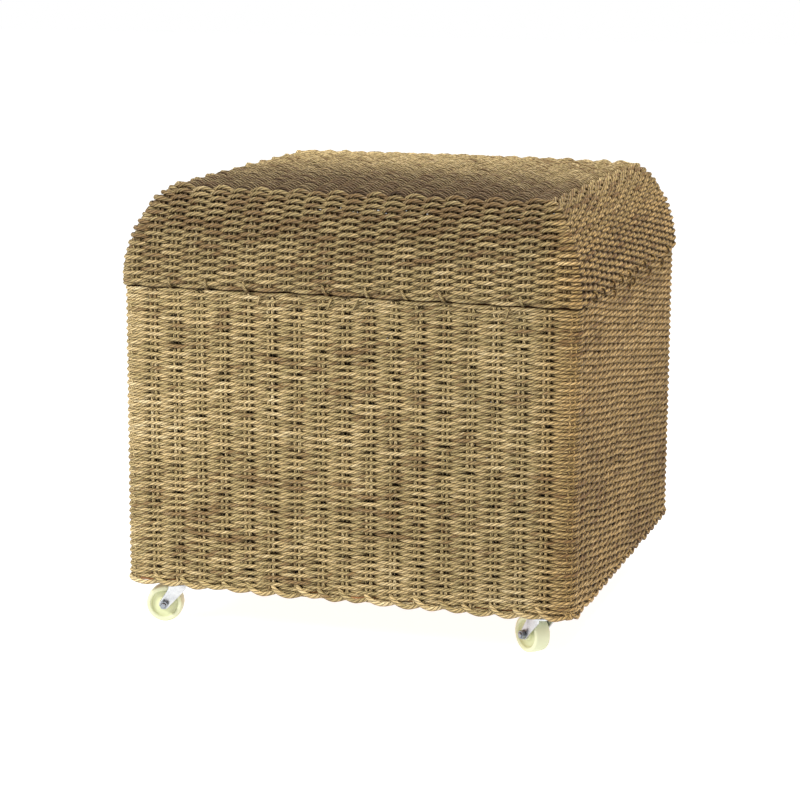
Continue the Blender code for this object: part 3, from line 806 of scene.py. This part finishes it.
# %% Lid profile
def lid_profile(samples=240):
    """Distance along the middle of the wall, with its half width, height and direction there."""
    turn = np.linspace(0, pi / 2, samples)
    across = TOP_HALF + SHOULDER_IN * np.cos(turn) ** (2 / SHOULDER_POWER)
    up = SHOULDER_FOOT + SHOULDER_RISE * np.sin(turn) ** (2 / SHOULDER_POWER)
    outer = np.column_stack([np.insert(across, 0, LID_HALF), np.insert(up, 0, SEAM_HIGH)])
    way = np.gradient(outer, axis=0)
    way /= np.linalg.norm(way, axis=1)[:, None]
    middle = outer - HALF_WALL * np.column_stack([way[:, 1], -way[:, 0]])
    length = np.concatenate([[0], np.cumsum(np.linalg.norm(np.diff(middle, axis=0), axis=1))])
    return length, middle[:, 0], middle[:, 1], way[:, 0], way[:, 1]


LENGTHS, HALVES, HEIGHTS, WAY_IN, WAY_UP = lid_profile()
SHOULDER_LONG = LENGTHS[-1]


def on_lid(length):
    """Half width, height and direction of the lid's wall at a distance up it."""
    return [np.interp(length, LENGTHS, column) for column in (HALVES, HEIGHTS, WAY_IN, WAY_UP)]


print("shoulder is", round(SHOULDER_LONG * 1000), "mm over the curve")

# %% [markdown]
# ## Rows round the lid
#
# The lid's stakes stand 20 mm apart on every side and run straight up, so fewer of them reach the
# top than start at the rim. A row counts its stakes from the middle of each side. At the corners,
# where no stake stands, `press` falls and the rope stays near the front, wrapping the hip from
# one side to the next. The lid is woven a little looser than the body, so its ropes bulge more
# between the stakes.

# %% Lid rings
LID_STAKE = 0.020
HIP_FADE = 0.010
HIP_PRESS = 0.35
RIM_START = 0.0010
TOP_START = SHOULDER_LONG - 0.0008
ring_count = round((TOP_START - RIM_START) / ROW) + 1
lid_rings = []
for row, length in enumerate(np.linspace(RIM_START, TOP_START, ring_count)):
    half, height, way_in, way_up = on_lid(length)
    ring, ring_normal, _, _, ring_along = loop(half, ROPE_CORNER)
    flat = np.zeros(len(ring))
    hip = np.clip((half - np.abs(ring_along)) / HIP_FADE, HIP_PRESS, 1)
    lid_rings.append(guide(
        np.column_stack([ring, flat + height]),
        np.column_stack([ring_normal * way_up, flat - way_in]),
        np.column_stack([ring_normal * way_in, flat + way_up]),
        wave=ring_along / LID_STAKE + 0.5 + row, press=hip * wale(length - RIM_START),
        sway=min((length - RIM_START) / CALM + SEAM_SWAY, 1.0), closed=True))
half_way = ring_count // 2
LOOSER = {"Tightness": 1.2, "Depth": 0.0034, "Uneven": 0.5, "Rope Radius": 0.00215}
BULGING = {**LOOSER, "Tightness": 1.0, "Depth": 0.0042, "Rope Radius": 0.00225}
woven("lid_rope_rim", lid_rings[:half_way], lid_seagrass, "lid", ["lid_weave"], **LOOSER)
woven("lid_rope_shoulder", lid_rings[half_way:], lid_seagrass, "lid", ["lid_weave"], **BULGING)

# %% [markdown]
# ## Rows over the top
#
# Across the top the rows run from side to side and their ends tuck under the last ring. The top
# is crowned by eight millimetres, steepest at its edge and flattest in the middle.

# %% Lid top
OVER_TOP = {"Tightness": 1.0, "Depth": 0.0050, "Uneven": 0.5, "Rope Radius": 0.00195}
TOP_LEVEL = SHOULDER_FOOT + SHOULDER_RISE - HALF_WALL
TUCK_LONG, TUCK_DEEP = 0.005, 0.0024
TOP_POINTS = 117
top_count = round(2 * TOP_HALF / ROW)
top_pitch = 2 * TOP_HALF / top_count


def top_height(x, y):
    rise_x, rise_y = (1 - abs(v / TOP_HALF) ** CROWN_POWER for v in (x, y))
    return TOP_LEVEL + CROWN * rise_x * rise_y


top_rows = []
x = np.linspace(-TOP_HALF, TOP_HALF, TOP_POINTS)
tuck = np.clip((np.abs(x) - TOP_HALF) / TUCK_LONG + 1, 0, 1) ** 2 * TUCK_DEEP
for row in range(top_count):
    y = np.full(len(x), -TOP_HALF + (row + 0.5) * top_pitch)
    top_rows.append(guide(
        np.column_stack([x, y, top_height(x, y) - tuck]), (0, 0, 1), (0, 1, 0),
        wave=x / LID_STAKE + 0.5 + row + ring_count, press=1.0, sway=1.0))
woven("lid_rope_top", top_rows, top_seagrass, "lid", ["lid_weave"], **OVER_TOP)

# %% [markdown]
# ## The lid's stakes
#
# Those from the front rim climb the shoulder, cross the top and go down the back in one length.
# Those of the two sides stop where they meet the top. Near a corner a stake ends where the wall
# has grown narrower than its place. Three cords more climb each corner.

# %% Lid stakes
CORD_STEP = 0.004
CORD_START = 0.0012
CORNER_CORDS = ((0.0022, 0.0022), (0.0070, 0.0015), (0.0015, 0.0070))  # in from it, each way


def up_the_lid(place):
    """Lengths up the wall for a stake this far from a side's middle."""
    reach = SHOULDER_LONG
    if abs(place) >= TOP_HALF - PAIR:
        reach = np.interp(-abs(place) - PAIR, -HALVES, LENGTHS)
    return np.linspace(CORD_START, reach, max(round(reach / CORD_STEP), 3))


lid_stakes = []
for number in range(-11, 12):
    for offset in (-PAIR / 2, PAIR / 2):
        place = number * LID_STAKE + offset
        half, height, _, _ = on_lid(up_the_lid(number * LID_STAKE))
        climb = np.column_stack([np.full(len(half), place), -half, height])
        far = climb[::-1] * (1, -1, 1)
        if abs(number * LID_STAKE) < TOP_HALF - PAIR:
            y = np.arange(-TOP_HALF + CORD_STEP, TOP_HALF, CORD_STEP)
            over = np.column_stack([np.full(len(y), place), y, top_height(place, y)])
            lid_stakes.append(guide(np.vstack([climb[:-1], over, far[1:]]), (0, 0, 1)))
        else:
            lid_stakes += [guide(climb, (0, -1, 0)), guide(far, (0, 1, 0))]
        for sign in (-1, 1):
            side = np.column_stack([sign * half, np.full(len(half), place), height])
            lid_stakes.append(guide(side, (sign, 0, 0)))
half, height, _, _ = on_lid(np.arange(CORD_START, SHOULDER_LONG, CORD_STEP))
for side_x, side_y, (back_x, back_y) in product((-1, 1), (-1, 1), CORNER_CORDS):
    x, y = side_x * (half - back_x), side_y * (half - back_y)
    lid_stakes.append(guide(np.column_stack([x, y, height]), (side_x, 0, 0)))
woven("lid_stakes", lid_stakes, lid_seagrass, "lid", **STRAIGHT, **{"Rope Radius": CORD})

# %% [markdown]
# ## Ties along the seam
#
# The first rows of the lid are bound to its frame by small loops of rope at every other stake,
# with some left out. They pass over two rows and under the edge, a little slantwise, and break up
# the dark line of the seam. The top rows of the body are bound likewise, with the loops inverted.

# %% Seam ties
TIE_ROPE = 0.0013
TIE_SKIP = 0.3
TIE_PATH = (  # along the wall, out of its middle, away from the seam
    (-0.0024, 0.0030, 0.0086), (-0.0014, 0.0056, 0.0070), (0.0001, 0.0061, 0.0040),
    (0.0013, 0.0058, 0.0014), (0.0019, 0.0040, 0.0001), (0.0021, 0.0012, -0.0002),
    (0.0020, -0.0020, 0.0010),
)
TIE_EDGE = 0.0008  # the loops reach this far past the edge
BODY_TIE_STEP, BODY_TIE_START = 0.075, 0.0125


def ties(middle, level, upward, spacing, first):
    made = []
    places = np.arange(first, middle - CORNER_RADIUS, spacing)
    for (way, out), place, sign in product(SIDE_AXES, places, (-1, 1)):
        if chance.random() < TIE_SKIP:
            continue
        path = smooth_path(TIE_PATH, 4)
        path[:, 0] = path[:, 0] * chance.uniform(0.2, 1.3) + sign * place + chance.normal(0, 0.003)
        flat = path[:, :1] * way + (middle + path[:, 1:2]) * out
        made.append(guide(np.column_stack([flat, level + upward * path[:, 2]]), (*out, 0)))
    return made


lid_tie_level = SEAM_HIGH - TIE_EDGE + TIE_ROPE * 0.5
body_tie_level = SEAM_LOW - TIE_EDGE - TIE_ROPE * 0.5
lid_ties = ties(LID_HALF - HALF_WALL, lid_tie_level, 1, 2 * LID_STAKE, LID_STAKE)
body_ties = ties(BODY_HALF, body_tie_level, -1, BODY_TIE_STEP, BODY_TIE_START)
woven("lid_seam_ties", lid_ties, lid_seagrass, "lid", **STRAIGHT, **{"Rope Radius": TIE_ROPE})
woven("body_seam_ties", body_ties, body_seagrass, "base", **STRAIGHT, **{"Rope Radius": TIE_ROPE})

# %% [markdown]
# ## Loose fibres
#
# Dry seagrass frays, so here and there a thin split leaf stands off the rope. Each one starts on
# a row, lifts a few millimetres and ends in the air.

# %% Loose fibres
FIBRE, FIBRE_COUNT = 0.00022, 110
FIBRE_OUT = 0.0036  # where a fibre starts, out from the wall's middle
fibres = []
for _ in range(FIBRE_COUNT):
    way, out = SIDE_AXES[chance.integers(4)]
    start = chance.uniform(-BODY_HALF + 0.02, BODY_HALF - 0.02)
    height = chance.uniform(BODY_FOOT + 0.01, SEAM_LOW - 0.01)
    reach = chance.uniform(0.005, 0.013) * chance.choice((-1, 1))
    lift, rise = chance.uniform(0.0006, 0.0032), chance.normal(0, 0.0022)
    share = np.linspace(0, 1, 7)[:, None]
    flat = (start + reach * share) * way + (BODY_HALF + FIBRE_OUT + lift * share**2) * out
    fibres.append(guide(np.column_stack([flat, height + rise * share**1.5]), (*out, 0)))
THREAD = {**STRAIGHT, "Rope Radius": FIBRE, "Sides": 4}
woven("loose_fibres", fibres, body_seagrass, "base", **THREAD)

# %% [markdown]
# ## Wood, metal and nylon
#
# Under the rope is plain joinery. The softwood is stained orange-brown, and at the foot the edge
# of the base board shows through the border as small warm flecks. The grain is noise stretched
# along each board. The fittings are zinc plated, a bright and slightly mottled grey, and the
# wheels are moulded nylon, pale with a green cast, yellower in the hollow round the hub.


# %% Grain and mottle groups
def wood_grain_group():
    tree, given, result = new_group(
        "wood_grain", [("Stretch", "NodeSocketVector", (60.0, 60.0, 4.0))],
        [(name, "NodeSocketFloat") for name in ("Grain", "Pores")])
    at = vector_calc(tree, "MULTIPLY", object_place(tree), given["Stretch"])
    at = vector_calc(tree, "ADD", at, scaled(tree, cloudy(tree, at, 0.35, 2.0, "Color"), 2.2))
    values = {"Vector": at, "Scale": 1.6, "Detail": 5.0, "Roughness": 0.62}
    grain = add(tree, "ShaderNodeTexNoise", values)
    pores = cloudy(tree, at, 14.0, 2.0)
    tree.links.new(grain.outputs["Fac"], result["Grain"])
    tree.links.new(spread(tree, pores, 0.56, 0.68), result["Pores"])
    return tree


def mottle_group():
    tree, given, result = new_group(
        "mottle", [("Size", "NodeSocketFloat", 120.0)],
        [(name, "NodeSocketFloat") for name in ("Cloud", "Speck", "Grime")])
    at = scaled(tree, object_place(tree), given["Size"])
    speck = add(tree, "ShaderNodeTexVoronoi", {"Vector": at, "Scale": 5.0}).outputs["Color"]
    made = {"Cloud": cloudy(tree, at, 1.0, 3.0), "Speck": part(tree, speck, "X"),
            "Grime": spread(tree, cloudy(tree, at, 0.4, 4.0), 0.5, 0.75)}
    for name, value in made.items():
        tree.links.new(value, result[name])
    return tree


wood_grain, mottle = wood_grain_group(), mottle_group()


# %% Hard finishes
def wood(name, stretch, light, dark, plies=0.0):
    made, tree, shader = new_finish(name)
    grain = add(tree, "ShaderNodeGroup", {"Stretch": stretch}, node_tree=wood_grain).outputs
    colour = mixed(tree, spread(tree, grain["Grain"], 0.32, 0.68), dark, light)
    colour = mixed(tree, times(tree, grain["Pores"], 0.5), colour, dark)
    if plies:
        height = part(tree, object_place(tree), "Z")
        band = calc(tree, "SINE", times(tree, height, pi / plies))
        colour = mixed(tree, spread(tree, band, -0.1, 0.1, 0.0, 0.35), colour, dark)
    tree.links.new(colour, shader.inputs["Base Color"])
    tree.links.new(spread(tree, grain["Grain"], 0.3, 0.7, 0.62, 0.42), shader.inputs["Roughness"])
    raised(tree, shader, grain["Grain"], 0.5, 0.0003)
    return made


def mottled(name, size, light, dark, specks, grime, rough, relief):
    """A finish that its marks lighten, darken and roughen."""
    made, tree, shader = new_finish(name)
    marks = add(tree, "ShaderNodeGroup", {"Size": size}, node_tree=mottle).outputs
    share = times(tree, marks["Grime"], grime)
    share = calc(tree, "MULTIPLY_ADD", marks["Speck"], specks, share)
    tree.links.new(mixed(tree, share, light, dark), shader.inputs["Base Color"])
    tree.links.new(spread(tree, marks["Cloud"], 0.3, 0.7, *rough), shader.inputs["Roughness"])
    raised(tree, shader, marks["Cloud"], *relief)
    return made, shader


def zinc(name, light, dark, rough):
    made, shader = mottled(name, 160.0, light, dark, 0.35, 0.5, rough, (0.25, 0.0002))
    shader.inputs["Metallic"].default_value = 1.0
    return made


def nylon(name, light, dark):
    return mottled(name, 90.0, light, dark, 0.0, 0.55, (0.34, 0.52), (0.2, 0.0003))[0]


STAIN_LIGHT, STAIN_DARK = (0.60, 0.27, 0.085, 1), (0.27, 0.085, 0.022, 1)
GRAINS = ((4.0, 60.0, 60.0), (60.0, 4.0, 60.0), (60.0, 60.0, 4.0))
timbers = [wood(f"timber_along_{axis}", stretch, STAIN_LIGHT, STAIN_DARK)
           for axis, stretch in zip("xyz", GRAINS)]
PLY = 0.0012
SHEET_GRAIN = (5.0, 45.0, 45.0)
base_board = wood("base_board", SHEET_GRAIN, (0.66, 0.31, 0.10, 1), (0.36, 0.13, 0.035, 1), PLY)
deck_board = wood("deck_board", SHEET_GRAIN, (0.74, 0.55, 0.32, 1), (0.50, 0.32, 0.15, 1), PLY)
bright_zinc = zinc("bright_zinc", (0.66, 0.68, 0.70, 1), (0.40, 0.42, 0.45, 1), (0.24, 0.46))
dull_zinc = zinc("dull_zinc", (0.40, 0.43, 0.47, 1), (0.16, 0.18, 0.21, 1), (0.22, 0.45))
cream_nylon = nylon("cream_nylon", (0.75, 0.78, 0.52, 1), (0.63, 0.66, 0.36, 1))
hollow_nylon = nylon("hollow_nylon", (0.68, 0.71, 0.42, 1), (0.55, 0.58, 0.27, 1))
print("hard finishes ready")

# %% [markdown]
# ## Dress the timber
#
# The boards keep their frame parts and only get a finish. A board's grain runs along its longest
# side, so that is what chooses among the three timbers.

# %% Timber and boards
slots = {entry["node"]: entry["material_slot"] for entry in frame["record"]["subparts"]}
for name, kind in slots.items():
    if kind == "timber":
        low, high = (Vector(corner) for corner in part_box(name))
        size = high - low
        nodes_at[name].material_slots[0].material = timbers[max(range(3), key=lambda i: size[i])]
nodes_at["base_panel"].material_slots[0].material = base_board
nodes_at["lid_deck"].material_slots[0].material = deck_board
print(sum(kind == "timber" for kind in slots.values()), "timbers dressed")

# %% [markdown]
# ## Metal with softened edges
#
# Pressed and plated steel never has a knife edge. Each fitting is a copy of its frame part with
# its doubles merged, its edges rolled over by a small bevel and its facets shaded smooth. The
# bolts and nuts get the duller zinc of small hardware.

# %% Fittings
EDGE_ROLL = 0.00025
SMOOTH_BELOW, FLAT_BELOW = radians(38), radians(1)
DOUBLES_WITHIN = 0.00001


def softened(name, finish):
    mesh = nodes_at[name].data.copy()
    shape = bmesh.new()
    shape.from_mesh(mesh)
    bmesh.ops.remove_doubles(shape, verts=shape.verts, dist=DOUBLES_WITHIN)
    bmesh.ops.dissolve_limit(shape, angle_limit=FLAT_BELOW, verts=shape.verts, edges=shape.edges)
    shape.to_mesh(mesh)
    shape.free()
    mesh.materials.clear()
    mesh.materials.append(finish)
    piece = in_scene(name + "_finish", mesh)
    roll = piece.modifiers.new("roll", "BEVEL")
    roll.width, roll.segments, roll.angle_limit = EDGE_ROLL, 2, SMOOTH_BELOW
    piece.data = with_modifiers(piece)
    piece.modifiers.clear()
    piece.data.shade_smooth()
    piece.data.set_sharp_from_angle(angle=SMOOTH_BELOW)
    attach(piece, nodes_at[name]["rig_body"])
    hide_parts(name)


fittings = [name for name, kind in slots.items() if kind == "zinc_steel"]
for name in fittings:
    softened(name, dull_zinc if name.startswith("axle") else bright_zinc)
print(len(fittings), "fittings finished")

# %% [markdown]
# ## Wheels
#
# A caster wheel is turned in one go: a rounded tread, a rim, a hollow ring to save material and a
# hub with the axle's bore. Its outline is spun round in mesh code with enough steps to look round,
# and the hollow faces get the yellower nylon.

# %% Wheel outline
TREAD = 0.019
HALF_WIDE = 0.0085
BORE = 0.0028
EDGE_AT, EDGE_ROUND = 0.0168, 0.0018
FACE = (  # radius, and depth under the wheel's face: rim, hollow and hub
    (0.0150, 0), (0.0143, 0.0003), (0.0137, 0.0012), (0.0131, 0.0025), (0.0123, 0.0029),
    (0.0074, 0.0029), (0.0067, 0.0024), (0.0063, 0.0008), (0.0059, 0), (BORE, 0),
)
HOLLOW_DEEP, HOLLOW_FROM, HOLLOW_TO = 0.0009, 0.0064, 0.0140
WHEEL_STEPS = 72


def wheel_outline():
    """(radius, height) from the middle of the tread to the bore, on one side."""
    tread = [(TREAD, 0.0), (TREAD - 0.00005, 0.0025), (TREAD - 0.0002, 0.0050)]
    edge = [(EDGE_AT + EDGE_ROUND * cos(a), HALF_WIDE - EDGE_ROUND + EDGE_ROUND * sin(a))
            for a in np.linspace(0, pi / 2, 7)]
    return tread + edge + [(radius, HALF_WIDE - depth) for radius, depth in FACE]


side_outline = wheel_outline()
outline = [(radius, -height) for radius, height in side_outline[:0:-1]] + side_outline
print("wheel outline has", len(outline), "places")


# %% Wheels
def turned_wheel(name, matrix):
    shape = bmesh.new()
    rings = []
    for step in range(WHEEL_STEPS):
        turn = 2 * pi * step / WHEEL_STEPS
        rings.append([shape.verts.new((r * cos(turn), r * sin(turn), z)) for r, z in outline])
    count = len(outline)
    for ring, following in zip(rings, rings[1:] + rings[:1]):
        for i in range(count):
            j = (i + 1) % count
            face = shape.faces.new((ring[i], following[i], following[j], ring[j]))
            middle = face.calc_center_median()
            deep = abs(middle.z) < HALF_WIDE - HOLLOW_DEEP
            face.material_index = int(deep and HOLLOW_FROM < middle.xy.length < HOLLOW_TO)
    shape.transform(matrix)
    bmesh.ops.recalc_face_normals(shape, faces=shape.faces)
    mesh = bpy.data.meshes.new(name)
    shape.to_mesh(mesh)
    shape.free()
    mesh.shade_smooth()
    mesh.set_sharp_from_angle(angle=radians(50))
    mesh.materials.append(cream_nylon)
    mesh.materials.append(hollow_nylon)
    return mesh


for joint in frame["joints"]:
    if joint["name"].startswith("wheel_spin"):
        corner = joint["name"].removeprefix("wheel_spin_")
        stand = Vector(joint["axis"]).to_track_quat("Z", "Y").to_matrix().to_4x4()
        matrix = Matrix.Translation(joint["pos_m"]) @ stand
        mesh = turned_wheel(f"wheel_{corner}_finish", matrix)
        wheel = in_scene(mesh.name, mesh)
        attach(wheel, joint["child"])
        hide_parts(f"wheel_{corner}")
        print(wheel.name, len(mesh.polygons), "faces")

# %% [markdown]
# ## Screws
#
# Four screws hold each caster plate to the base board and three hold each hinge leaf. Only the
# heads show. One Geometry Nodes tree makes a head with a cross cut into it and sets a copy at
# each point of a small mesh, facing the way that the point's `facing` says, each with its own
# turn, because nobody lines up screws.

# %% Screw tree
HEAD_RADIUS, HEAD_HEIGHT = 0.0026, 0.0009


def screw_tree():
    inputs = [
        ("Geometry", "NodeSocketGeometry", None), ("Head Radius", "NodeSocketFloat", HEAD_RADIUS),
        ("Head Height", "NodeSocketFloat", HEAD_HEIGHT), ("Seed", "NodeSocketInt", SEED),
        ("Material", "NodeSocketMaterial", None),
    ]
    tree, given, result = new_group("screws", inputs, SHAPE_OUT, "GeometryNodeTree")
    radius, height = given["Head Radius"], given["Head Height"]
    head = add(tree, "GeometryNodeMeshCone", {
        "Vertices": 20, "Radius Top": times(tree, radius, 0.72),
        "Radius Bottom": radius, "Depth": height}).outputs["Mesh"]
    arm, slim = times(tree, radius, 1.15), times(tree, radius, 0.26)
    lift = joined(tree, 0.0, 0.0, height)
    for wide, deep in ((arm, slim), (slim, arm)):
        values = {"Size": joined(tree, wide, deep, height)}
        bar = add(tree, "GeometryNodeMeshCube", values).outputs["Mesh"]
        values = {"Geometry": bar, "Translation": lift}
        bar = add(tree, "GeometryNodeTransform", values).outputs[0]
        values = {"Mesh 1": head, "Mesh 2": bar}
        head = add(tree, "GeometryNodeMeshBoolean", values, operation="DIFFERENCE").outputs["Mesh"]
    values = {"Vector": stored_value(tree, "facing", "FLOAT_VECTOR")}
    turn = add(tree, "FunctionNodeAlignRotationToVector", values, axis="Z").outputs[0]
    spin = add(tree, "FunctionNodeRandomValue", {"Seed": given["Seed"]}, data_type="FLOAT")
    values = {0: turn, 1: joined(tree, 0.0, 0.0, times(tree, spin.outputs[1], 2 * pi))}
    turn = add(tree, "FunctionNodeRotateRotation", values, rotation_space="LOCAL").outputs[0]
    values = {"Points": given["Geometry"], "Instance": head, "Rotation": turn}
    set_out = add(tree, "GeometryNodeInstanceOnPoints", values).outputs[0]
    return finish_tree(tree, set_out, given, result)


screws = screw_tree()


# %% Screws
def screw_heads(name, places, body, height):
    """places is a list of (point, facing)."""
    mesh = bpy.data.meshes.new(name)
    mesh.from_pydata([point for point, _ in places], [], [])
    facing = mesh.attributes.new("facing", "FLOAT_VECTOR", "POINT")
    facing.data.foreach_set("vector", np.array([way for _, way in places], np.float32).ravel())
    piece = in_scene(name, mesh)
    setting = piece.modifiers.new("screws", "NODES")
    setting.node_group = screws
    keys = input_keys(screws)
    setting[keys["Head Height"]] = height
    setting[keys["Material"]] = dull_zinc
    piece.data = with_modifiers(piece)
    piece.modifiers.clear()
    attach(piece, body)
    print(name, len(places), "screws,", len(piece.data.polygons), "faces")


PLATE_EDGE, PLATE_FACE = 0.0043, 0.0025  # in from the plate's edge, and down from its top
LEAF_EDGE, LEAF_FACE, LEAF_PLACES = 0.0085, 0.0015, (-0.018, 0.0, 0.018)
FLUSH_HEAD = 0.0002
plate_screws = []
for corner in ("front_left", "front_right", "rear_left", "rear_right"):
    low, high = (Vector(end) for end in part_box(f"caster_plate_{corner}"))
    top = (low + high) / 2
    reach = (high.x - low.x) / 2 - PLATE_EDGE
    for sx, sy in product((-1, 1), (-1, 1)):
        place = (top.x + sx * reach, top.y + sy * reach, high.z - PLATE_FACE)
        plate_screws.append((place, (0, 0, -1)))
screw_heads("plate_screws", plate_screws, "base", HEAD_HEIGHT)
for leaf, body, way in (("body_leaf", "base", 1), ("lid_leaf", "lid", -1)):
    places = []
    for side in ("left", "right"):
        low, high = (Vector(end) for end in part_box(f"hinge_{side}_{leaf}"))
        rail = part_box("top_rail_rear" if body == "base" else "lid_rail_rear")
        face = rail[1][2] + LEAF_FACE if body == "base" else rail[0][2] - LEAF_FACE
        for shift in LEAF_PLACES:
            place = ((low.x + high.x) / 2 + shift, low.y + LEAF_EDGE, face)
            places.append((place, (0, 0, way)))
    screw_heads(f"hinge_{leaf}_screws", places, body, FLUSH_HEAD)
